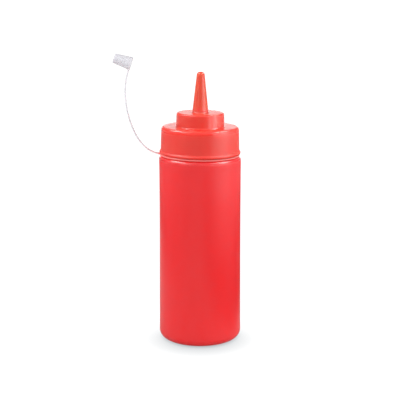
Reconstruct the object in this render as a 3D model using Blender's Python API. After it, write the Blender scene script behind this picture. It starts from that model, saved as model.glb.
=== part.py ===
# A soft plastic squeeze bottle: the bottle, its stepped screw cap with a nozzle, and a tethered tip cap.
# Metres, +Z up. The origin is the middle of the flat base, and the tether leaves the ring towards -X.
import math

import bpy
import numpy as np
from mathutils import Matrix, Vector

MM = 0.001

# Driving sizes of the bottle
FOOT_RADIUS = 33.15 * MM
WAIST_RADIUS = 32.45 * MM
WAIST_HEIGHT = 112.0 * MM
SHOULDER_HEIGHT = 149.9 * MM
SHOULDER_RADIUS = 32.55 * MM
SHOULDER_ROUND = 2.6 * MM
SHOULDER_EASE = 12.0 * MM
HEEL_ROUND = 5.7 * MM
FLARE_POWER = 1.8
NECK_RADIUS = 27.3 * MM
NECK_TOP = 167.5 * MM

# Driving sizes of the cap
GAP = 0.3 * MM
CAP_BOTTOM = 151.7 * MM
BEAD_HEIGHT = 2.3 * MM
BEAD_RADIUS = 32.2 * MM
BEAD_FULLNESS = 0.7
SKIRT_BOTTOM_RADIUS = 31.2 * MM
SKIRT_TOP_RADIUS = 30.65 * MM
DECK_HEIGHT = 173.3 * MM
DECK_ROUND = 1.8 * MM
TURRET_BOTTOM_RADIUS = 19.15 * MM
TURRET_TOP_RADIUS = 18.75 * MM
TURRET_HEIGHT = 184.2 * MM
TURRET_ROUND = 1.2 * MM
NOZZLE_BOTTOM_RADIUS = 6.4 * MM
NOZZLE_TIP_RADIUS = 2.9 * MM
NOZZLE_HEIGHT = 216.0 * MM
NOZZLE_FLARE = 0.8 * MM
NOZZLE_ROUND = 2.4 * MM
ORIFICE_RADIUS = 1.0 * MM
ORIFICE_DEPTH = 8.0 * MM

# Driving sizes of the tether
RING_THICKNESS = 1.2 * MM
RING_RADIUS = 31.6 * MM
RING_ROUND = 0.35 * MM
STRAP_WIDTH = 3.2 * MM
STRAP_THICKNESS = 1.2 * MM
STRAP_CORNER = 0.35 * MM
STRAP_SINK = 0.7 * MM
STRAP_SET_IN = 0.05 * MM
STRAP_OUT = (-40.6 * MM, 151.7 * MM)
STRAP_TURN = (-47.4 * MM, 160.0 * MM)
STRAP_MIDDLE = (-50.4 * MM, 165.6 * MM)
STRAP_RISE = (-56.8 * MM, 177.6 * MM)
STRAP_CREST = (-62.4 * MM, 199.0 * MM)
TIP_MOUTH = Vector((-53.6, 0.0, 222.3)) * MM
TIP_TILT = math.radians(18.3)
TIP_LENGTH = 14.4 * MM
TIP_LIP_RADIUS = 5.3 * MM
TIP_LIP_LENGTH = 1.3 * MM
TIP_CONE_RADIUS = 5.05 * MM
TIP_END_RADIUS = 3.8 * MM
TIP_ROUND = 0.8 * MM
BORE_MOUTH_RADIUS = 4.2 * MM
BORE_END_RADIUS = 3.0 * MM
BORE_DEPTH = 10.5 * MM

# How finely round shapes are cut
BODY_SEGMENTS = 72
TIP_SEGMENTS = 32
WALL_STEPS = 9
STRAP_STEPS = 44
SMOOTH_ANGLE = math.radians(40)


def arc(centre_r, centre_z, radius, start_deg, end_deg, steps):
    """Points of an arc in the outline's plane, both ends included."""
    angles = np.radians(np.linspace(start_deg, end_deg, steps + 1))
    return [(centre_r + radius * math.cos(a), centre_z + radius * math.sin(a)) for a in angles]


def turned_mesh(name, outline, segments, closed=False):
    """Spins an outline of (radius, height) about Z. It runs anticlockwise round the material, seen with
    the axis on the left, and it starts and ends on the axis unless it is a closed loop."""
    rings = []
    verts = []
    for radius, height in outline:
        count = 1 if radius == 0 else segments
        rings.append(range(len(verts), len(verts) + count))
        for k in range(count):
            angle = 2 * math.pi * k / segments
            verts.append((radius * math.cos(angle), radius * math.sin(angle), height))
    pairs = list(zip(rings, rings[1:]))
    if closed:
        pairs.append((rings[-1], rings[0]))
    faces = []
    for low, high in pairs:
        for k in range(segments):
            nxt = (k + 1) % segments
            if len(low) == 1:
                faces.append((low[0], high[nxt], high[k]))
            elif len(high) == 1:
                faces.append((low[k], low[nxt], high[0]))
            else:
                faces.append((low[k], low[nxt], high[nxt], high[k]))
    mesh = bpy.data.meshes.new(name)
    mesh.from_pydata(verts, [], faces)
    mesh.update()
    return mesh


def finished(name, mesh, material):
    """Puts a mesh in the scene as a named object, shaded smooth but for its sharp edges."""
    obj = bpy.data.objects.new(name, mesh)
    bpy.context.scene.collection.objects.link(obj)
    mesh.materials.clear()
    mesh.materials.append(material)
    mesh.shade_smooth()
    mesh.set_sharp_from_angle(angle=SMOOTH_ANGLE)
    return obj


def plastic(name, colour, roughness):
    """A moulded plastic with one colour."""
    material = bpy.data.materials.new(name)
    material.use_nodes = True
    shader = material.node_tree.nodes["Principled BSDF"]
    shader.inputs["Base Color"].default_value = (*colour, 1.0)
    shader.inputs["Roughness"].default_value = roughness
    shader.inputs["Metallic"].default_value = 0.0
    return material


def wall_radius(height):
    """The wall is straight above the waist and widens towards the foot on a smooth curve."""
    below = max(0.0, 1.0 - height / WAIST_HEIGHT)
    return WAIST_RADIUS + (FOOT_RADIUS - WAIST_RADIUS) * below ** FLARE_POWER


def make_bottle():
    """Flat base, rounded heel, wall, the rounded shoulder that carries the tether's ring, and the plain neck
    that the cap covers."""
    heel_radius = wall_radius(HEEL_ROUND)
    outline = [(0.0, 0.0)]
    outline += arc(heel_radius - HEEL_ROUND, HEEL_ROUND, HEEL_ROUND, -90, 0, 6)
    for height in np.linspace(HEEL_ROUND, WAIST_HEIGHT, WALL_STEPS)[1:]:
        outline.append((wall_radius(height), float(height)))
    shoulder_start = SHOULDER_HEIGHT - SHOULDER_ROUND
    outline.append((WAIST_RADIUS, shoulder_start - SHOULDER_EASE))
    outline += arc(SHOULDER_RADIUS - SHOULDER_ROUND, shoulder_start, SHOULDER_ROUND, 0, 90, 5)
    outline += [(NECK_RADIUS, SHOULDER_HEIGHT), (NECK_RADIUS, NECK_TOP), (0.0, NECK_TOP)]
    mesh = turned_mesh("bottle", outline, BODY_SEGMENTS)
    return finished("bottle", mesh, plastic("bottle_red", (0.78, 0.045, 0.05), 0.38))


def make_cap():
    """Skirt with a bead, two stepped tiers and the nozzle, bored from below for the neck and from above
    for the squirt hole."""
    recess_radius = NECK_RADIUS + GAP
    recess_top = NECK_TOP + GAP
    bead_half = BEAD_HEIGHT / 2
    bead_middle = CAP_BOTTOM + bead_half
    bead_depth = BEAD_RADIUS - SKIRT_BOTTOM_RADIUS
    outline = [(0.0, recess_top), (recess_radius, recess_top), (recess_radius, CAP_BOTTOM)]
    for angle in np.radians(np.linspace(-90, 90, 7)):
        bulge = bead_depth * math.cos(angle) ** BEAD_FULLNESS
        outline.append((SKIRT_BOTTOM_RADIUS + bulge, bead_middle + bead_half * math.sin(angle)))
    outline += arc(SKIRT_TOP_RADIUS - DECK_ROUND, DECK_HEIGHT - DECK_ROUND, DECK_ROUND, 0, 90, 4)
    outline.append((TURRET_BOTTOM_RADIUS, DECK_HEIGHT))
    outline += arc(TURRET_TOP_RADIUS - TURRET_ROUND, TURRET_HEIGHT - TURRET_ROUND, TURRET_ROUND, 0, 90, 4)
    flare_centre = NOZZLE_BOTTOM_RADIUS + NOZZLE_FLARE
    outline += arc(flare_centre, TURRET_HEIGHT + NOZZLE_FLARE, NOZZLE_FLARE, 270, 180, 3)
    tip_centre = NOZZLE_TIP_RADIUS - NOZZLE_ROUND
    hole_edge = math.degrees(math.acos((ORIFICE_RADIUS - tip_centre) / NOZZLE_ROUND))
    outline += arc(tip_centre, NOZZLE_HEIGHT - NOZZLE_ROUND, NOZZLE_ROUND, 5, hole_edge, 4)
    floor = NOZZLE_HEIGHT - ORIFICE_DEPTH
    outline += [(ORIFICE_RADIUS, floor), (0.0, floor)]
    mesh = turned_mesh("nozzle_cap", outline, BODY_SEGMENTS)
    return finished("nozzle_cap", mesh, plastic("cap_red", (0.82, 0.065, 0.045), 0.32))


def strap_route(start, end):
    """Two Bezier spans in the plane y = 0: out from the ring and up, then over to the tip cap's rim.
    Each span is its two ends and the two handles between them."""
    spans = [
        (start, STRAP_OUT, STRAP_TURN, STRAP_MIDDLE),
        (STRAP_MIDDLE, STRAP_RISE, STRAP_CREST, end),
    ]
    route = []
    for number, span in enumerate(spans):
        points = np.array(span)
        t = np.linspace(0, 1, STRAP_STEPS // 2 + 1)[number:, None]
        near = (1 - t) ** 3 * points[0] + 3 * (1 - t) ** 2 * t * points[1]
        far = 3 * (1 - t) * t ** 2 * points[2] + t ** 3 * points[3]
        route.append(near + far)
    return np.concatenate(route)


def strap_mesh(route):
    """A flat band with cut corners along the route, its width across the route's plane."""
    half_w = STRAP_WIDTH / 2
    half_t = STRAP_THICKNESS / 2
    cut_w = half_w - STRAP_CORNER
    cut_t = half_t - STRAP_CORNER
    section = [(cut_w, half_t), (half_w, cut_t), (half_w, -cut_t), (cut_w, -half_t)]
    section += [(-w, -t) for w, t in section]
    ahead = np.gradient(route, axis=0)
    ahead /= np.linalg.norm(ahead, axis=1)[:, None]
    verts = []
    for (x, z), (tx, tz) in zip(route, ahead):
        verts += [(x - tz * t, w, z + tx * t) for w, t in section]
    count = len(section)
    faces = [tuple(range(count)), tuple(range(len(verts) - 1, len(verts) - count - 1, -1))]
    for ring in range(0, len(verts) - count, count):
        for k in range(count):
            nxt = (k + 1) % count
            faces.append((ring + k, ring + count + k, ring + count + nxt, ring + nxt))
    mesh = bpy.data.meshes.new("strap")
    mesh.from_pydata(verts, [], faces)
    mesh.update()
    return mesh


def tip_cap_mesh():
    """A hollow cone with a lip, closed at its narrow end. Its own Z runs from the mouth to that end."""
    outline = [(0.0, BORE_DEPTH), (BORE_END_RADIUS, BORE_DEPTH), (BORE_MOUTH_RADIUS, 0.0)]
    outline += [(TIP_LIP_RADIUS, 0.0), (TIP_LIP_RADIUS, TIP_LIP_LENGTH)]
    outline.append((TIP_CONE_RADIUS, TIP_LIP_LENGTH))
    outline += arc(TIP_END_RADIUS - TIP_ROUND, TIP_LENGTH - TIP_ROUND, TIP_ROUND, 0, 90, 4)
    outline.append((0.0, TIP_LENGTH))
    mesh = turned_mesh("tip_cap", outline, TIP_SEGMENTS)
    mesh.transform(Matrix.Translation(TIP_MOUTH) @ Matrix.Rotation(TIP_TILT - math.pi / 2, 4, "Y"))
    return mesh


def make_tether():
    """The ring under the cap, the strap and the tip cap, moulded as one piece."""
    ring_bottom = SHOULDER_HEIGHT + GAP
    ring_top = ring_bottom + RING_THICKNESS
    inner = NECK_RADIUS + GAP
    outer = RING_RADIUS - RING_ROUND
    outline = [(inner, ring_top), (inner, ring_bottom)]
    outline += arc(outer, ring_bottom + RING_ROUND, RING_ROUND, -90, 0, 2)
    outline += arc(outer, ring_top - RING_ROUND, RING_ROUND, 0, 90, 2)
    ring = turned_mesh("ring", outline, BODY_SEGMENTS, closed=True)

    ring_middle = (ring_bottom + ring_top) / 2
    start = (STRAP_SINK - RING_RADIUS, ring_middle)
    along_rim = Vector((math.sin(TIP_TILT), 0.0, math.cos(TIP_TILT)))
    into_cap = Vector((-math.cos(TIP_TILT), 0.0, math.sin(TIP_TILT)))
    joint = TIP_MOUTH - along_rim * (TIP_LIP_RADIUS - STRAP_SINK)
    joint += into_cap * (STRAP_THICKNESS / 2 + STRAP_SET_IN)
    strap = strap_mesh(strap_route(start, (joint.x, joint.z)))

    material = plastic("tether_white", (0.80, 0.79, 0.82), 0.45)
    tether = finished("tether", ring, material)
    pieces = bpy.data.collections.new("tether_pieces")
    for name, mesh in (("strap", strap), ("tip_cap", tip_cap_mesh())):
        pieces.objects.link(bpy.data.objects.new(name, mesh))
    union = tether.modifiers.new("join", "BOOLEAN")
    union.operation = "UNION"
    union.operand_type = "COLLECTION"
    union.collection = pieces
    depsgraph = bpy.context.evaluated_depsgraph_get()
    joined = bpy.data.meshes.new_from_object(tether.evaluated_get(depsgraph))
    tether.modifiers.clear()
    tether.data = joined
    joined.name = "tether"
    joined.materials.clear()
    joined.materials.append(material)
    joined.set_sharp_from_angle(angle=SMOOTH_ANGLE)
    for piece in list(pieces.objects):
        bpy.data.objects.remove(piece)
    bpy.data.collections.remove(pieces)
    return tether


def main():
    for obj in list(bpy.data.objects):
        bpy.data.objects.remove(obj)
    make_bottle()
    make_cap()
    make_tether()


main()
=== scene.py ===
import math

import bpy
import numpy as np
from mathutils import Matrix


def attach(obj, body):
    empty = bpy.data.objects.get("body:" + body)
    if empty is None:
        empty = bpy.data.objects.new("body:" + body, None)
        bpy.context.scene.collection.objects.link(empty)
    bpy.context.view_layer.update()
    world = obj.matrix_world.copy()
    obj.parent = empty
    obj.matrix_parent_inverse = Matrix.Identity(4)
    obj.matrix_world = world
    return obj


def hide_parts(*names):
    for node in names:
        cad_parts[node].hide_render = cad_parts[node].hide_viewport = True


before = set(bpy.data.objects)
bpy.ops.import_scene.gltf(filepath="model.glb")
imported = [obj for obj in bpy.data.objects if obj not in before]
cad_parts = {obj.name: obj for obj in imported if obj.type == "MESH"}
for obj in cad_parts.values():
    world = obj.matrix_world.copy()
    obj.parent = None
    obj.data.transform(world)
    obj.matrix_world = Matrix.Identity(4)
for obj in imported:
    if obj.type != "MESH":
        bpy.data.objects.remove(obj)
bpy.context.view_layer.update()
mm = 0.001
scene = bpy.context.scene
print("frame loaded")


# Camera and picture

cameraLook = {
    "distance": 812 * mm,
    "height": 288.8 * mm,
    "pitchDown": math.radians(12.18),
    "lens": 93.15,
    "sensor": 36.0,
}


def makeCamera(look):
    data = bpy.data.cameras.new("pictureCamera")
    data.lens = look["lens"]
    data.sensor_width = look["sensor"]
    camera = bpy.data.objects.new("pictureCamera", data)
    camera.location = (0, -look["distance"], look["height"])
    camera.rotation_euler = (math.pi / 2 - look["pitchDown"], 0, 0)
    scene.collection.objects.link(camera)
    scene.camera = camera


makeCamera(cameraLook)
scene.view_settings.view_transform = "Standard"
print("camera placed")


# Shapes: paths, turned surfaces and swept bands

def straight(start, end, step):
    # points from start up to, but not including, end, about one step apart
    start, end = np.array(start, float), np.array(end, float)
    count = max(1, int(round(np.linalg.norm(end - start) / step)))
    t = np.arange(count)[:, None] / count
    return start + (end - start) * t


def roundedPath(corners, step, closed=False):
    # Corners are (radius, height, rounding). Each is cut back by rounding * tan(half the turn) and replaced
    # by the arc that touches both sides; straight stretches and arcs are sampled about one step apart.
    points = [np.array(c[:2], float) for c in corners]
    count = len(points)
    pieces = []
    leaving = None
    firstEnter = None
    for i, corner in enumerate(corners):
        here = points[i]
        ended = not closed and i in (0, count - 1)
        if ended or corner[2] == 0:
            enter = leave = here
            bend = here[None]
        else:
            back = points[i - 1] - here
            ahead = points[(i + 1) % count] - here
            back /= np.linalg.norm(back)
            ahead /= np.linalg.norm(ahead)
            between = math.acos(float(np.clip(back @ ahead, -1, 1)))
            cut = corner[2] / math.tan(between / 2)
            enter, leave = here + back * cut, here + ahead * cut
            middle = (back + ahead) / np.linalg.norm(back + ahead)
            centre = here + middle * corner[2] / math.sin(between / 2)
            turn = math.pi - between
            n = max(3, int(round(turn * corner[2] / step)) + 2)
            a, b = enter - centre, leave - centre
            t = np.linspace(0, 1, n)[:, None]
            bend = centre + (a * np.sin((1 - t) * turn) + b * np.sin(t * turn)) / math.sin(turn)
        if leaving is not None:
            pieces.append(straight(leaving, enter, step)[1:])
        else:
            firstEnter = enter
        pieces.append(bend)
        leaving = leave
    if closed:
        pieces.append(straight(leaving, firstEnter, step)[1:])
    return np.concatenate(pieces)


def gridFaces(rows, columns, wrapRows):
    # Quads of a grid whose columns wrap round. Row j meets row j + 1, and the last row meets the first if
    # the rows wrap too.
    bands = rows if wrapRows else rows - 1
    j, k = np.meshgrid(np.arange(bands), np.arange(columns), indexing="ij")
    nextJ, nextK = (j + 1) % rows, (k + 1) % columns
    corners = [j * columns + k, j * columns + nextK, nextJ * columns + nextK, nextJ * columns + k]
    return np.stack(corners, axis=-1).reshape(-1, 4)


def meshFromGrid(name, grid, wrapRows=False, startPole=None, endPole=None):
    # grid[j, k] is the point on row j and column k. A pole closes an open end with a fan of triangles.
    rows, columns = grid.shape[:2]
    verts = grid.reshape(-1, 3)
    quads = gridFaces(rows, columns, wrapRows)
    fans = []
    k = np.arange(columns)
    nextK = (k + 1) % columns
    if startPole is not None:
        fans.append(np.stack([np.full(columns, len(verts)), nextK, k], axis=-1))
        verts = np.vstack([verts, startPole])
    if endPole is not None:
        last = (rows - 1) * columns
        fans.append(np.stack([last + k, last + nextK, np.full(columns, len(verts))], axis=-1))
        verts = np.vstack([verts, endPole])
    tris = np.concatenate(fans) if fans else np.zeros((0, 3), int)
    mesh = bpy.data.meshes.new(name)
    mesh.vertices.add(len(verts))
    mesh.vertices.foreach_set("co", verts.astype(np.float32).ravel())
    loops = np.concatenate([quads.ravel(), tris.ravel()]).astype(np.int32)
    mesh.loops.add(len(loops))
    mesh.loops.foreach_set("vertex_index", loops)
    starts = np.concatenate([np.arange(len(quads)) * 4, len(quads) * 4 + np.arange(len(tris)) * 3])
    mesh.polygons.add(len(starts))
    mesh.polygons.foreach_set("loop_start", starts.astype(np.int32))
    mesh.update(calc_edges=True)
    mesh.validate()
    mesh.shade_smooth()
    piece = bpy.data.objects.new(name, mesh)
    scene.collection.objects.link(piece)
    return piece


def turnedGrid(path, columns):
    # The path's (radius, height) spun about Z: point = (r cos v, r sin v, z), v even round the circle.
    v = np.arange(columns) * 2 * math.pi / columns
    r, z = path[:, 0][:, None], path[:, 1][:, None]
    return np.stack([r * np.cos(v), r * np.sin(v), z + 0 * v], axis=-1)


def tiltAboutY(angle):
    # Points times this matrix turn clockwise, seen from the front, to
    # (x cos a + z sin a, y, z cos a - x sin a).
    cosine, sine = math.cos(angle), math.sin(angle)
    return np.array([[cosine, 0, -sine], [0, 1, 0], [sine, 0, cosine]])


def smoothStep(low, high, x):
    # 0 below low, 1 above high and 3 t^2 - 2 t^3 between, where t is the share of the way
    t = np.clip((x - low) / (high - low), 0, 1)
    return t * t * (3 - 2 * t)


# Materials

plastic = {
    "ior": 1.51,
    "cloudDetail": 3.0,
    "smudgeDetail": 4.0,
    "smudgeRange": (0.3, 0.7),  # the noise values that give the first and the second roughness
    "waveDetail": 1.0,
    "grainDetail": 2.0,
}


def addNode(tree, kind, settings, links):
    # One shader node: settings go on its sockets, links join its sockets to other nodes' outputs.
    node = tree.nodes.new(kind)
    for socket, value in settings.items():
        node.inputs[socket].default_value = value
    for socket, source in links.items():
        tree.links.new(source, node.inputs[socket])
    return node


def shadeBlend(tree, place, tint, look):
    # Turns the tint into a second colour as the height, or the distance from the bottle's axis, goes from
    # one value to another. It carries the parts' own tones and painted light alike.
    split = addNode(tree, "ShaderNodeSeparateXYZ", {}, {"Vector": place})
    measure = split.outputs["Z"]
    if look["along"] == "distance":
        flat = addNode(tree, "ShaderNodeCombineXYZ", {}, {"X": split.outputs["X"], "Y": split.outputs["Y"]})
        length = addNode(tree, "ShaderNodeVectorMath", {}, {"Vector": flat.outputs["Vector"]})
        length.operation = "LENGTH"
        measure = length.outputs["Value"]
    ends = {"From Min": look["from"], "From Max": look["to"]}
    share = addNode(tree, "ShaderNodeMapRange", ends, {"Value": measure})
    share.interpolation_type = "SMOOTHSTEP"
    blend = tree.nodes.new("ShaderNodeMix")
    blend.data_type = "RGBA"
    blend.inputs["B"].default_value = (*look["colour"], 1)
    tree.links.new(share.outputs["Result"], blend.inputs["Factor"])
    tree.links.new(tint, blend.inputs["A"])
    return blend.outputs["Result"]


def greyAlong(tree, measure, stops):
    # A grey that follows the measure. Stops are (measure, grey), joined by straight lines, and the grey is
    # level beyond the ends.
    low, high = stops[0][0], stops[-1][0]
    share = addNode(tree, "ShaderNodeMapRange", {"From Min": low, "From Max": high}, {"Value": measure})
    ramp = addNode(tree, "ShaderNodeValToRGB", {}, {"Fac": share.outputs["Result"]})
    marks = ramp.color_ramp.elements
    for number, (place, grey) in enumerate(stops):
        mark = marks[number] if number < 2 else marks.new(1.0)
        mark.position = (place - low) / (high - low)
        mark.color = (grey, grey, grey, 1)
    return ramp.outputs["Color"]


def plasticMaterial(name, look):
    # Moulded polyethylene. Colour drifts between two near shades on cloudy noise, roughness on smudgy noise
    # and with the height, and the bump is a fine moulded grain on slow waves in the wall.
    material = bpy.data.materials.new(name)
    material.use_nodes = True
    tree = material.node_tree
    shader = tree.nodes["Principled BSDF"]
    place = addNode(tree, "ShaderNodeTexCoord", {}, {})
    centred = addNode(tree, "ShaderNodeMapping", {}, {"Vector": place.outputs["Object"]})
    centred.inputs["Location"].default_value = look["patternCentre"]
    where = centred.outputs["Vector"]

    def noise(scale, detail):
        return addNode(tree, "ShaderNodeTexNoise", {"Scale": scale, "Detail": detail}, {"Vector": where})

    cloud = noise(look["cloudScale"], plastic["cloudDetail"])
    tint = tree.nodes.new("ShaderNodeMix")
    tint.data_type = "RGBA"
    tint.inputs["A"].default_value = (*look["colour"], 1)
    tint.inputs["B"].default_value = (*look["colourDrift"], 1)
    tree.links.new(cloud.outputs["Fac"], tint.inputs["Factor"])
    colour = tint.outputs["Result"]
    for shade in look["tonesAndPaintedLight"]:
        colour = shadeBlend(tree, place.outputs["Object"], colour, shade)
    tree.links.new(colour, shader.inputs["Base Color"])

    smudge = noise(look["smudgeScale"], plastic["smudgeDetail"])
    haze = addNode(tree, "ShaderNodeMapRange", {}, {"Value": smudge.outputs["Fac"]})
    haze.inputs["From Min"].default_value, haze.inputs["From Max"].default_value = plastic["smudgeRange"]
    haze.inputs["To Min"].default_value = look["roughness"][0]
    haze.inputs["To Max"].default_value = look["roughness"][1]
    split = addNode(tree, "ShaderNodeSeparateXYZ", {}, {"Vector": place.outputs["Object"]})
    duller = greyAlong(tree, split.outputs["Z"], look["satin"])
    finish = addNode(tree, "ShaderNodeMath", {}, {0: haze.outputs["Result"], 1: duller})
    tree.links.new(finish.outputs["Value"], shader.inputs["Roughness"])

    waves = noise(look["waveScale"], plastic["waveDetail"])
    grain = noise(look["grainScale"], plastic["grainDetail"])
    slow = addNode(tree, "ShaderNodeBump", {"Strength": 1.0, "Distance": look["waveDepth"]},
                   {"Height": waves.outputs["Fac"]})
    fine = addNode(tree, "ShaderNodeBump", {"Strength": 1.0, "Distance": look["grainDepth"]},
                   {"Height": grain.outputs["Fac"], "Normal": slow.outputs["Normal"]})
    tree.links.new(fine.outputs["Normal"], shader.inputs["Normal"])

    shader.inputs["IOR"].default_value = plastic["ior"]
    shader.inputs["Specular IOR Level"].default_value = look["specular"]
    shader.inputs["Subsurface Weight"].default_value = look["glow"]
    shader.inputs["Subsurface Radius"].default_value = look["glowReach"]
    shader.inputs["Subsurface Scale"].default_value = look["glowScale"]
    return material


dressed = []


def dress(piece, material, node):
    # Gives a piece its material, hangs it under the root body and hides the solid that it stands for.
    piece.data.materials.append(material)
    dressed.append(piece)
    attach(piece, "root")
    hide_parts(node)


# The bottle

bottle = {
    "footRadius": 33.15 * mm,
    "waistRadius": 32.45 * mm,
    "waistHeight": 112 * mm,
    "flarePower": 1.8,
    "shoulderHeight": 150.0 * mm,
    "shoulderSwell": 0.1 * mm,
    "shoulderRound": 2.8 * mm,
    "shoulderTilt": math.radians(0.9),
    "heelRound": 6.2 * mm,
    "neckRadius": 27.3 * mm,
    "neckTop": 167.5 * mm,
    "neckFootRound": 0.2 * mm,
    "neckTopRound": 0.6 * mm,
    "standRadius": 25.5 * mm,
    "standRound": 1.2 * mm,
    "pushUp": 0.9 * mm,
    "pushUpRadius": 22.0 * mm,
    "pushUpRound": 3.0 * mm,
    "hubRadius": 0.4 * mm,  # the first and last rows, before the poles
    "swellDrop": 4.0 * mm,  # how far under the shoulder's top the swell is fullest
    "swellReach": 5.0 * mm,
    "swellInside": 25.0 * mm,  # only what is farther out than this swells
    "tiltFade": (14.0 * mm, 3.0 * mm),  # below the shoulder's top: where the tilt starts and is whole
    "partingHeight": 0.07 * mm,
    "partingWidth": 0.35 * mm,
    "unevenness": 0.07 * mm,
    "unevenFoot": (10.0 * mm, 30.0 * mm),  # heights where the unevenness starts and where it is whole
    "unevenTop": (9.0 * mm, 2.0 * mm),  # below the shoulder's top: where it fades and where it ends
    "unevenDepth": 2.5 * mm,  # only what is nearer than this to the wall is uneven
    "waves": ({"share": 1.0, "around": 2, "aroundStart": 1.1, "up": 31, "upStart": 0.4},
              {"share": 0.6, "around": 3, "aroundStart": -0.7, "up": 47, "upStart": 2.0}),
    "around": 288,
    "step": 1.0 * mm,
}

bottleLook = {
    "colour": (0.775, 0.018, 0.021),
    "colourDrift": (0.795, 0.022, 0.026),
    # painted light: the flat top under the ring is a brighter red, so that the shaded gap under the ring
    # reads light
    "tonesAndPaintedLight": ({"along": "height", "from": 148.6 * mm, "to": 149.8 * mm, "colour": (0.97, 0.03, 0.03)},),
    "cloudScale": 22.0,  # these scales are in features per metre
    "smudgeScale": 45.0,
    "roughness": (0.15, 0.19),  # the two that it drifts between
    # heights, and the roughness that each adds
    "satin": ((60 * mm, 0.14), (110 * mm, 0.16), (138 * mm, 0.24), (146.5 * mm, 0.28), (148.2 * mm, 0)),
    "waveScale": 55.0,
    "waveDepth": 0.10 * mm,
    "grainScale": 2600.0,
    "grainDepth": 0.012 * mm,
    "specular": 0.5,
    "glow": 0.9,  # the share of the light that goes under the surface
    "glowReach": (1.0, 0.03, 0.03),  # how far red, green and blue go there, as shares of the scale
    "glowScale": 18.0 * mm,
    "patternCentre": (0, 0, -0.075),
}


def wallFlare(z):
    # 1 above the waist, growing below it to foot / waist with the share below the waist to a power
    below = np.clip(1 - z / bottle["waistHeight"], 0, None)
    return 1 + (bottle["footRadius"] / bottle["waistRadius"] - 1) * below ** bottle["flarePower"]


def makeBottle():
    # A rounded outline spun about Z, then pushed along its radius by four terms: the foot's flare, a swell
    # under the shoulder (a bell curve over the height), the parting ridge on both sides (a narrow bell curve
    # across it), and the waves round the wall (a sum of share * cosine round it * sine up it). From the top
    # of the wall up, each height drops by x times the tangent of the shoulder's tilt.
    size = bottle
    top = size["shoulderHeight"]
    corners = [
        (size["hubRadius"], size["pushUp"], 0),
        (size["pushUpRadius"], size["pushUp"], size["pushUpRound"]),
        (size["standRadius"], 0, size["standRound"]),
        (size["waistRadius"], 0, size["heelRound"]),
        (size["waistRadius"], top, size["shoulderRound"]),
        (size["neckRadius"], top, size["neckFootRound"]),
        (size["neckRadius"], size["neckTop"], size["neckTopRound"]),
        (size["hubRadius"], size["neckTop"], 0),
    ]
    path = roundedPath(corners, size["step"])
    grid = turnedGrid(path, size["around"])
    x, y, z = grid[..., 0], grid[..., 1], grid[..., 2]
    radius = np.hypot(x, y)
    fadeFrom, fadeTo = size["unevenTop"]
    onWall = smoothStep(*size["unevenFoot"], z) * (1 - smoothStep(top - fadeFrom, top - fadeTo, z))
    onWall = onWall * (radius > size["waistRadius"] - size["unevenDepth"])
    angle = np.arctan2(y, x)
    sideways = np.abs(y) / size["partingWidth"]
    ridge = size["partingHeight"] * np.exp(-sideways ** 2) * onWall
    swell = size["shoulderSwell"] * np.exp(-((z - top + size["swellDrop"]) / size["swellReach"]) ** 2)
    swell = swell * (radius > size["swellInside"])
    waves = 0
    for wave in size["waves"]:
        turnWave = np.cos(wave["around"] * angle + wave["aroundStart"])
        waves = waves + wave["share"] * turnWave * np.sin(z * wave["up"] + wave["upStart"])
    push = wallFlare(z) + (ridge + swell + size["unevenness"] * waves * onWall) / radius
    tiltFrom, tiltTo = size["tiltFade"]
    drop = x * math.tan(size["shoulderTilt"]) * smoothStep(top - tiltFrom, top - tiltTo, z)
    grid[..., 0] = x * push
    grid[..., 1] = y * push
    grid[..., 2] = z - drop
    start, end = (0, 0, size["pushUp"]), (0, 0, size["neckTop"])
    return meshFromGrid("bottleShell", grid, startPole=start, endPole=end)


bottleRed = plasticMaterial("bottleRed", bottleLook)
dress(makeBottle(), bottleRed, "bottle")
print("bottle made")


# The nozzle cap

cap = {
    "bottom": 151.7 * mm,
    "recessRadius": 27.6 * mm,
    "recessTop": 167.8 * mm,
    "recessTopRound": 0.4 * mm,
    "recessMouthRound": 0.2 * mm,
    "recessHub": 0.3 * mm,  # the first row, before the pole
    "beadRadius": 32.2 * mm,
    "beadTop": 154.0 * mm,
    "beadFullness": 0.42,  # the bead's rounding as a share of its height
    "beadSlope": (0.1 * mm, 0.2 * mm),  # below and above the bead's top: the ends of its upper side
    "beadSeamRound": 0.25 * mm,
    "skirtBottomRadius": 31.2 * mm,
    "skirtTopRadius": 30.65 * mm,
    "deckHeight": 173.3 * mm,
    "deckRound": 1.9 * mm,
    "turretBottomRadius": 19.15 * mm,
    "turretTopRadius": 18.75 * mm,
    "turretHeight": 184.2 * mm,
    "turretFootRound": 0.5 * mm,
    "turretRound": 1.2 * mm,
    "nozzleBottomRadius": 6.4 * mm,
    "nozzleTipRadius": 2.9 * mm,
    "nozzleHeight": 216.0 * mm,
    "nozzleRound": 2.2 * mm,
    "nozzleFlare": 0.8 * mm,
    "holeRadius": 0.9 * mm,
    "holeDepth": 8.0 * mm,
    "holeHub": 0.2 * mm,  # the last row, before the pole
    "tilt": math.radians(0.6),
    "tiltHeight": 158 * mm,
    "around": 256,
    "step": 0.6 * mm,
}

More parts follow.
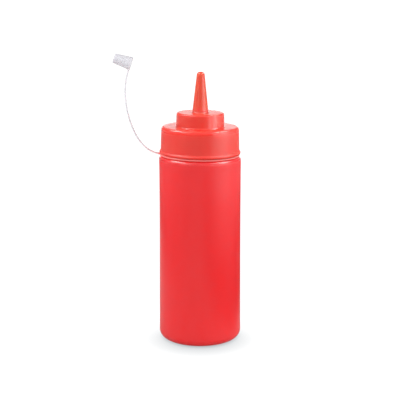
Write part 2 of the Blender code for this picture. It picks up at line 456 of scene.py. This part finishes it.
capLook = {
    "colour": (0.755, 0.032, 0.020),
    "colourDrift": (0.775, 0.035, 0.022),
    # the turret's and the nozzle's own tones
    "tonesAndPaintedLight": ({"along": "height", "from": 172 * mm, "to": 175 * mm, "colour": (0.64, 0.039, 0.022)},
               {"along": "height", "from": 184 * mm, "to": 190 * mm, "colour": (0.60, 0.047, 0.012)},
               # painted light: the bead's underside, over the shaded gap above the ring, is a brighter red
               {"along": "height", "from": 153.2 * mm, "to": 152.0 * mm, "colour": (0.97, 0.05, 0.03)}),
    "cloudScale": 30.0,
    "smudgeScale": 60.0,
    "roughness": (0.15, 0.20),
    "satin": ((168 * mm, 0.23), (171.3 * mm, 0), (175 * mm, 0), (176 * mm, 0.05)),
    "waveScale": 90.0,
    "waveDepth": 0.04 * mm,
    "grainScale": 3000.0,
    "grainDepth": 0.008 * mm,
    "specular": 0.5,
    "glow": 0.9,
    "glowReach": (1.0, 0.05, 0.05),
    "glowScale": 7.0 * mm,
    "patternCentre": (0, 0, -0.18),
}


def makeCap():
    # A rounded outline spun about Z, then the whole cap tilted a little, as it sits on its thread: a turn
    # about the Y axis at the tilt's height, left side up.
    size = cap
    beadRound = (size["beadTop"] - size["bottom"]) * size["beadFullness"]
    slopeBelow, slopeAbove = size["beadSlope"]
    holeBottom = size["nozzleHeight"] - size["holeDepth"]
    corners = [
        (size["recessHub"], size["recessTop"], 0),
        (size["recessRadius"], size["recessTop"], size["recessTopRound"]),
        (size["recessRadius"], size["bottom"], size["recessMouthRound"]),
        (size["beadRadius"], size["bottom"], beadRound),
        (size["beadRadius"], size["beadTop"] - slopeBelow, beadRound),
        (size["skirtBottomRadius"], size["beadTop"] + slopeAbove, size["beadSeamRound"]),
        (size["skirtTopRadius"], size["deckHeight"], size["deckRound"]),
        (size["turretBottomRadius"], size["deckHeight"], size["turretFootRound"]),
        (size["turretTopRadius"], size["turretHeight"], size["turretRound"]),
        (size["nozzleBottomRadius"], size["turretHeight"], size["nozzleFlare"]),
        (size["nozzleTipRadius"], size["nozzleHeight"], size["nozzleRound"]),
        (size["holeRadius"], size["nozzleHeight"], 0),
        (size["holeRadius"], holeBottom, 0),
        (size["holeHub"], holeBottom, 0),
    ]
    path = roundedPath(corners, size["step"])
    grid = turnedGrid(path, size["around"])
    pivot = np.array([0, 0, size["tiltHeight"]])
    turn = tiltAboutY(size["tilt"])
    poles = [(0, 0, size["recessTop"]), (0, 0, holeBottom)]
    start, end = ((np.array(pole) - pivot) @ turn + pivot for pole in poles)
    return meshFromGrid("nozzleCap", (grid - pivot) @ turn + pivot, startPole=start, endPole=end)


capRed = plasticMaterial("capRed", capLook)
dress(makeCap(), capRed, "nozzle_cap")
print("cap made")


# The tether: ring, strap and tip cap

tether = {
    "ringInner": 27.8 * mm,
    "ringOuter": 31.75 * mm,
    "ringShift": -0.35 * mm,
    "ringBottom": 150.3 * mm,
    "ringTop": 151.4 * mm,
    "ringInnerRound": 0.2 * mm,
    "ringOuterRound": 0.3 * mm,
    "ringTilt": math.radians(0.9),
    "ringAround": 256,
    "ringStep": 0.2 * mm,
    "strapWidth": 3.2 * mm,
    "strapThickness": 1.2 * mm,
    "strapCorner": 0.4 * mm,
    "strapSquareness": 3,
    "strapRootSpread": 2.4 * mm,
    "strapRootLength": 5.0 * mm,
    "strapNeck": 0.25 * mm,
    "strapNeckLength": 2.0 * mm,
    "strapSink": 0.7 * mm,  # how deep the strap's ends go into the ring and the tip cap
    "strapSetIn": 0.05 * mm,
    "strapRows": 70,
    "strapAround": 28,
    "firstSpan": ((-40.6 * mm, 151.7 * mm), (-47.4 * mm, 160.0 * mm), (-50.4 * mm, 165.6 * mm)),
    "secondSpan": ((-56.8 * mm, 177.6 * mm), (-62.4 * mm, 199.0 * mm)),
    "mouth": np.array([-53.6 * mm, 0, 222.3 * mm]),
    "tilt": math.radians(18.3),
    "length": 14.30 * mm,
    "lipRadius": 5.3 * mm,
    "lipLength": 1.3 * mm,
    "lipRound": 0.3 * mm,
    "lipStep": 0.15 * mm,  # the height and the rounding of the step behind the lip
    "coneRadius": 5.05 * mm,
    "coneRound": 0.1 * mm,
    "endRadius": 3.75 * mm,
    "endRound": 0.8 * mm,
    "boreMouth": 4.2 * mm,
    "boreMouthRound": 0.2 * mm,
    "boreEnd": 3.0 * mm,
    "boreEndRound": 0.6 * mm,
    "boreDepth": 10.5 * mm,
    "tipHub": 0.2 * mm,  # the first and last rows, before the poles
    "tipAround": 96,
    "tipStep": 0.25 * mm,
}

tetherLook = {
    "colour": (0.70, 0.68, 0.73),
    "colourDrift": (0.74, 0.72, 0.76),
    # painted red light: the white strap turns pink towards the red parts, and the ring red where it sits
    # between them
    "tonesAndPaintedLight": ({"along": "distance", "from": 46 * mm, "to": 34 * mm, "colour": (0.80, 0.63, 0.63)},
               {"along": "distance", "from": 34 * mm, "to": 32.2 * mm, "colour": (0.94, 0.18, 0.17)}),
    "cloudScale": 120.0,
    "smudgeScale": 150.0,
    "roughness": (0.32, 0.42),
    "satin": ((165 * mm, 0.05), (200 * mm, 0)),
    "waveScale": 160.0,
    "waveDepth": 0.03 * mm,
    "grainScale": 3500.0,
    "grainDepth": 0.003 * mm,
    "specular": 0.5,
    "glow": 0.6,
    "glowReach": (1.0, 0.95, 1.0),
    "glowScale": 2.5 * mm,
    "patternCentre": (0.04, 0, -0.19),
}


def makeRing():
    # A closed outline with rounded corners, spun about Z, then tilted about its middle, up on the strap's
    # side, and shifted to that side.
    size = tether
    corners = [
        (size["ringInner"], size["ringTop"], size["ringInnerRound"]),
        (size["ringInner"], size["ringBottom"], size["ringInnerRound"]),
        (size["ringOuter"], size["ringBottom"], size["ringOuterRound"]),
        (size["ringOuter"], size["ringTop"], size["ringOuterRound"]),
    ]
    path = roundedPath(corners, size["ringStep"], closed=True)
    middle = np.array([0, 0, (size["ringBottom"] + size["ringTop"]) / 2])
    grid = (turnedGrid(path, size["ringAround"]) - middle) @ tiltAboutY(size["ringTilt"]) + middle
    grid[..., 0] += size["ringShift"]
    return meshFromGrid("tetherRing", grid, wrapRows=True)


def strapRoute(count):
    # Two cubic Bezier spans in the plane y = 0, from inside the ring to inside the tip cap's lip:
    # (1 - t)^3 a + 3 (1 - t)^2 t b + 3 (1 - t) t^2 c + t^3 d.
    size = tether
    along = np.array([math.sin(size["tilt"]), math.cos(size["tilt"])])
    inward = np.array([-math.cos(size["tilt"]), math.sin(size["tilt"])])
    rootRadius = size["ringOuter"] - size["strapSink"]
    rootHeight = (size["ringBottom"] + size["ringTop"]) / 2 + rootRadius * math.sin(size["ringTilt"])
    start = (size["ringShift"] - rootRadius, rootHeight)
    mouth = size["mouth"][[0, 2]]
    setIn = size["strapThickness"] / 2 + size["strapSetIn"]
    end = mouth - along * (size["lipRadius"] - size["strapSink"]) + inward * setIn
    outHandle, upHandle, knot = size["firstSpan"]
    spans = [(start, outHandle, upHandle, knot), (knot, *size["secondSpan"], tuple(end))]
    route = []
    for number, (a, b, c, d) in enumerate(np.array(spans)):
        t = np.linspace(0, 1, count)[number:, None]
        route.append((1 - t) ** 3 * a + 3 * (1 - t) ** 2 * t * b + 3 * (1 - t) * t ** 2 * c + t ** 3 * d)
    return np.concatenate(route)


def makeStrap():
    # A rounded bar section carried along the route: width across the route's plane, thickness along its
    # normal, each the sign of the cosine or sine times its size to a power. The width spreads at the ring
    # and narrows a little where it meets the tip cap, both as bell curves over the way walked.
    size = tether
    route = strapRoute(size["strapRows"])
    ahead = np.gradient(route, axis=0)
    ahead /= np.linalg.norm(ahead, axis=1)[:, None]
    walked = np.concatenate([[0], np.cumsum(np.linalg.norm(np.diff(route, axis=0), axis=1))])
    spread = size["strapRootSpread"] * np.exp(-(walked / size["strapRootLength"]) ** 2)
    pinch = size["strapNeck"] * np.exp(-((walked[-1] - walked) / size["strapNeckLength"]) ** 2)
    halfWide = (size["strapWidth"] + spread - pinch) / 2
    halfThick = size["strapThickness"] / 2
    angle = np.arange(size["strapAround"]) * 2 * math.pi / size["strapAround"]
    roundness = size["strapCorner"] / halfThick
    power = 2 / (2 + size["strapSquareness"] * (1 - roundness))
    across = np.sign(np.cos(angle)) * np.abs(np.cos(angle)) ** power
    outwards = np.sign(np.sin(angle)) * np.abs(np.sin(angle)) ** power
    grid = np.empty((len(route), len(angle), 3))
    normal = np.stack([-ahead[:, 1], ahead[:, 0]], axis=-1)
    grid[..., 0] = route[:, 0][:, None] + normal[:, 0][:, None] * outwards * halfThick
    grid[..., 1] = -halfWide[:, None] * across
    grid[..., 2] = route[:, 1][:, None] + normal[:, 1][:, None] * outwards * halfThick
    ends = [np.array([route[i, 0], 0, route[i, 1]]) for i in (0, -1)]
    return meshFromGrid("tetherStrap", grid, startPole=ends[0], endPole=ends[1])


def makeTipCap():
    # A hollow cone spun about its own axis and laid over, so that its own Z goes from the mouth to the
    # closed end: (x sin a - z cos a, y, x cos a + z sin a), where a is the tilt.
    size = tether
    corners = [
        (size["tipHub"], size["boreDepth"], 0),
        (size["boreEnd"], size["boreDepth"], size["boreEndRound"]),
        (size["boreMouth"], 0, size["boreMouthRound"]),
        (size["lipRadius"], 0, size["lipRound"]),
        (size["lipRadius"], size["lipLength"], size["lipStep"]),
        (size["coneRadius"], size["lipLength"] + size["lipStep"], size["coneRound"]),
        (size["endRadius"], size["length"], size["endRound"]),
        (size["tipHub"], size["length"], 0),
    ]
    path = roundedPath(corners, size["tipStep"])
    grid = turnedGrid(path, size["tipAround"])
    cosine, sine = math.cos(size["tilt"]), math.sin(size["tilt"])
    turn = np.array([[sine, 0, cosine], [0, 1, 0], [-cosine, 0, sine]])
    placed = grid @ turn + size["mouth"]
    poles = [np.array([0, 0, size[k]]) @ turn + size["mouth"] for k in ("boreDepth", "length")]
    return meshFromGrid("tipCap", placed, startPole=poles[0], endPole=poles[1])


tetherWhite = plasticMaterial("tetherWhite", tetherLook)
for piece in (makeRing(), makeStrap(), makeTipCap()):
    dress(piece, tetherWhite, "tether")
print("tether made")


# Floor, sky and lamps

studio = {
    "floorSize": 30.0,
    "floorDrop": 0.1 * mm,
    "sheetColour": (1.14, 1.14, 1.14),
    "shadeColour": (0.48, 0.50, 0.52),
    "shadeReach": 28 * mm,
    "shadeLean": (0, 0.5, 0.86),  # the way that the shade looks for light: up, and behind the bottle
    "shadeSamples": 24,
    # the grey that the floor gives back at each distance to the side, in metres
    "sheetShades": ((-0.47, 0.9), (-0.43, 0.1), (-0.27, 0.1), (-0.23, 0.9),
                    (0.055, 0.9), (0.10, 0.12), (0.43, 0.12), (0.47, 0.9)),
    "skyFront": 0.95,
    "skyBack": 0.36,
    "skyStep": (-0.4, 0.4),  # front to back, where the sky's level changes
    "aim": (0, 0, 0.15),
    "whites": ("tetherStrap", "tipCap"),
    "boxes": {
        "small": {"distance": 0.5, "size": (0.2, 0.19), "tint": (1, 1, 1), "lights": "all"},
        "smallCool": {"distance": 0.5, "size": (0.2, 0.19), "tint": (0.8, 1, 1), "lights": "all"},
        "tallCool": {"distance": 0.5, "size": (0.2, 0.24), "tint": (0.62, 1, 1), "lights": "reds"},
        "far": {"distance": 0.9, "size": (0.3, 0.3), "tint": (1, 1, 1), "lights": "all"},
        "wide": {"distance": 1.2, "size": (0.9, 0.2), "tint": (1, 1, 1), "lights": "all"},
        "near": {"distance": 0.14, "size": (0.1, 0.1), "tint": (1, 1, 1), "lights": "whites"},
    },
    "lamps": {
        "leftHigh": {"box": "tallCool", "azimuth": -100, "elevation": 48, "bright": 11.0},
        "rightHigh": {"box": "tallCool", "azimuth": 100, "elevation": 48, "bright": 10.0},
        "leftFrontHigh": {"box": "tallCool", "azimuth": -75, "elevation": 48, "bright": 6.0},
        "rightFrontHigh": {"box": "tallCool", "azimuth": 75, "elevation": 48, "bright": 9.5},
        "leftFront": {"box": "small", "azimuth": -50, "elevation": 26, "bright": 2.0},
        "rightLow": {"box": "smallCool", "azimuth": 75, "elevation": 3, "bright": 4.5},
        "rightFront": {"box": "smallCool", "azimuth": 50, "elevation": 3, "bright": 2.7},
        "rightSide": {"box": "smallCool", "azimuth": 100, "elevation": 3, "bright": 1.2},
        "leftSide": {"box": "smallCool", "azimuth": -90, "elevation": 15, "bright": 1.4},
        "frontLeftHigh": {"box": "far", "azimuth": -40, "elevation": 40, "bright": 4.0},
        "frontRight": {"box": "far", "azimuth": 40, "elevation": 15, "bright": 1.6},
        "frontLeft": {"box": "far", "azimuth": -40, "elevation": 15, "bright": 0.6},
        "back": {"box": "wide", "azimuth": 180, "elevation": 4, "bright": 1.8},
        "below": {"box": "near", "azimuth": -75, "elevation": -60, "bright": 3.5},
    },
}


def makeFloor():
    # A glowing white sheet where it is seen, greyed where the bottle stands in the way of light from behind
    # and above. What it gives back to the bottle is white too, but for a dark band on each side, which draws
    # the bottle's edges.
    half = studio["floorSize"] / 2
    below = -studio["floorDrop"]
    corners = [(-half, -half, below), (half, -half, below), (half, half, below), (-half, half, below)]
    mesh = bpy.data.meshes.new("floor")
    mesh.from_pydata(corners, [], [(0, 1, 2, 3)])
    floor = bpy.data.objects.new("floor", mesh)
    scene.collection.objects.link(floor)
    material = bpy.data.materials.new("floorWhite")
    material.use_nodes = True
    tree = material.node_tree
    tree.nodes.remove(tree.nodes["Principled BSDF"])
    place = addNode(tree, "ShaderNodeTexCoord", {}, {})
    split = addNode(tree, "ShaderNodeSeparateXYZ", {}, {"Vector": place.outputs["Object"]})
    bands = greyAlong(tree, split.outputs["X"], studio["sheetShades"])
    bounce = addNode(tree, "ShaderNodeBsdfDiffuse", {}, {"Color": bands})
    unshaded = addNode(tree, "ShaderNodeAmbientOcclusion", {"Distance": studio["shadeReach"]}, {})
    unshaded.samples = studio["shadeSamples"]
    lean = addNode(tree, "ShaderNodeCombineXYZ", dict(zip("XYZ", studio["shadeLean"])), {})
    tree.links.new(lean.outputs["Vector"], unshaded.inputs["Normal"])
    tone = tree.nodes.new("ShaderNodeMix")
    tone.data_type = "RGBA"
    tone.inputs["A"].default_value = (*studio["shadeColour"], 1)
    tone.inputs["B"].default_value = (*studio["sheetColour"], 1)
    tree.links.new(unshaded.outputs["AO"], tone.inputs["Factor"])
    seen = addNode(tree, "ShaderNodeEmission", {}, {"Color": tone.outputs["Result"]})
    rays = addNode(tree, "ShaderNodeLightPath", {}, {})
    both = addNode(tree, "ShaderNodeMixShader", {}, {"Fac": rays.outputs["Is Camera Ray"],
                                                     1: bounce.outputs["BSDF"], 2: seen.outputs["Emission"]})
    tree.links.new(both.outputs["Shader"], tree.nodes["Material Output"].inputs["Surface"])
    mesh.materials.append(material)


def makeSky():
    # White where it is seen. The light it gives has one level in front of the bottle and one behind it, with
    # a soft step between them.
    world = bpy.data.worlds.new("studioSky")
    scene.world = world
    world.use_nodes = True
    tree = world.node_tree
    where = addNode(tree, "ShaderNodeTexCoord", {}, {})
    split = addNode(tree, "ShaderNodeSeparateXYZ", {}, {"Vector": where.outputs["Generated"]})
    level = addNode(tree, "ShaderNodeMapRange", {}, {"Value": split.outputs["Y"]})
    level.inputs["From Min"].default_value, level.inputs["From Max"].default_value = studio["skyStep"]
    level.inputs["To Min"].default_value = studio["skyFront"]
    level.inputs["To Max"].default_value = studio["skyBack"]
    rays = addNode(tree, "ShaderNodeLightPath", {}, {})
    strength = addNode(tree, "ShaderNodeMath", {},
                       {0: level.outputs["Result"], 1: rays.outputs["Is Camera Ray"]})
    strength.operation = "MAXIMUM"
    tree.links.new(strength.outputs["Value"], tree.nodes["Background"].inputs["Strength"])
    tree.nodes["Background"].inputs["Color"].default_value = (1, 1, 1, 1)


def makeLamp(name, look, box, lit):
    # A soft box that shines on the lit pieces alone and faces the aim. Azimuth 0 is the camera's side and
    # grows to the right: place = aim + distance * (cos e * sin a, -cos e * cos a, sin e). Its power is
    # pi * width * height * brightness.
    data = bpy.data.lights.new(name, "AREA")
    data.shape = "RECTANGLE"
    data.size, data.size_y = box["size"]
    data.energy = math.pi * data.size * data.size_y * look["bright"]
    data.color = box["tint"]
    lamp = bpy.data.objects.new(name, data)
    scene.collection.objects.link(lamp)
    a, e = math.radians(look["azimuth"]), math.radians(look["elevation"])
    outwards = np.array([math.cos(e) * math.sin(a), -math.cos(e) * math.cos(a), math.sin(e)])
    ahead = -box["distance"] * outwards
    lamp.location = np.array(studio["aim"]) - ahead
    flat = math.hypot(ahead[0], ahead[1])
    lamp.rotation_euler = (math.atan2(flat, -ahead[2]), 0, math.atan2(ahead[1], ahead[0]) - math.pi / 2)
    lamp.visible_camera = False
    lamp.light_linking.receiver_collection = lit


def makeLamps():
    # Each kind of box lights all the pieces, the white ones alone, or the reds with the ring between them.
    lit = {name: bpy.data.collections.new("lit " + name) for name in ("all", "reds", "whites")}
    for piece in dressed:
        lit["all"].objects.link(piece)
        kind = "whites" if piece.name in studio["whites"] else "reds"
        lit[kind].objects.link(piece)
    for name, look in studio["lamps"].items():
        box = studio["boxes"][look["box"]]
        makeLamp(name, look, box, lit[box["lights"]])


makeFloor()
makeSky()
makeLamps()
print("studio made")
